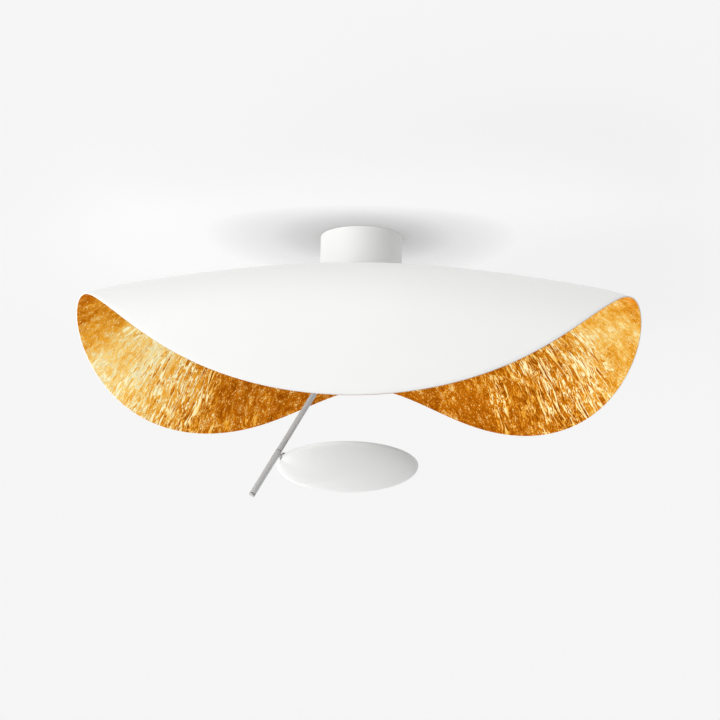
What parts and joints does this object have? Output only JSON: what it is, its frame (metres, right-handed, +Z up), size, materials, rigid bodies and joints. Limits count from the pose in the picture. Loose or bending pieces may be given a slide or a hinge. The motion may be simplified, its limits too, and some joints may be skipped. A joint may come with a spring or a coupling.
{
  "type": "ceiling light",
  "caption": "Ceiling light with a folded, leaf-shaped metal shade gilded underneath, and a swivelling arm with a round lamp head that shines up into it.",
  "frame": {"origin": "centre of the ceiling plate's upper face, on the ceiling, midway between the two ceiling screws", "axes": "+Z up into the ceiling, +X along the line of the two ceiling screws to the right of the picture, +Y away from the viewer; the front fold of the shade is towards -Y"},
  "size_m": [0.5974, 0.5459, 0.2965],
  "materials": {
    "white_paint": "satin",
    "gold_leaf": "hand-laid leaf, brushed and wrinkled",
    "satin_nickel": "satin",
    "dark_nickel": "satin",
    "zinc_steel": "zinc plated",
    "brass": "plain",
    "bare_aluminium": "milled",
    "ivory_plastic": "moulded",
    "slip_plastic": "moulded",
    "foam_pad": "foam",
    "board_white": "solder mask",
    "chip_yellow": "phosphor",
    "opal_plastic": "opal, satin"
  },
  "bodies": {
    "ceiling_part": {"ceiling_plate": "zinc_steel", "bridge_strap": "zinc_steel", "strap_screws": "zinc_steel", "earth_screw": "brass", "terminal_block": "ivory_plastic", "upper_stem_nut": "zinc_steel", "lower_stem_nut": "zinc_steel", "stem_tube": "satin_nickel", "driver": "ivory_plastic", "driver_pad": "foam_pad", "canopy_cup": "white_paint", "canopy_nut": "white_paint", "shade_sheet": "white_paint", "gold_leaf": "gold_leaf", "shade_washer": "satin_nickel", "shade_nut": "satin_nickel", "swivel_neck": "satin_nickel"},
    "swivel": {"upper_slip_washer": "slip_plastic", "lower_slip_washer": "slip_plastic", "swivel_housing": "satin_nickel", "fork": "satin_nickel", "pivot_screw": "satin_nickel", "pivot_nut": "satin_nickel"},
    "arm": {"rod_eye": "satin_nickel", "rod_tube": "satin_nickel", "spigot": "satin_nickel", "sleeve_top_washer": "slip_plastic", "sleeve_end_washer": "slip_plastic", "end_cap": "dark_nickel"},
    "grip": {"grip_sleeve": "satin_nickel", "stub_pin": "satin_nickel"},
    "head": {"socket_block": "satin_nickel", "socket_screw": "dark_nickel", "pin_set_screw": "dark_nickel", "head_dish": "white_paint", "heat_plate": "bare_aluminium", "heat_plate_screws": "zinc_steel", "light_board": "board_white", "light_chips": "chip_yellow", "diffuser": "opal_plastic"}
  },
  "joints": [
    {"name": "arm_turn", "type": "hinge", "parent": "ceiling_part", "child": "swivel", "pos_m": [0, 0, -0.07], "axis": [0, 0, 1], "range_deg": [-175, 175]},
    {"name": "arm_tilt", "type": "hinge", "parent": "swivel", "child": "arm", "pos_m": [0, 0, -0.091], "axis": [-0.3746, 0.9272, 0], "range_deg": [-18, 20]},
    {"name": "grip_turn", "type": "hinge", "parent": "arm", "child": "grip", "pos_m": [-0.08484, -0.03428, -0.24948], "axis": [0.4636, 0.1873, 0.866], "range_deg": [-75, 75]},
    {"name": "head_roll", "type": "hinge", "parent": "grip", "child": "head", "pos_m": [-0.08484, -0.03428, -0.24948], "axis": [0.9266, 0.3744, -0.0349], "range_deg": [-40, 40]}
  ]
}
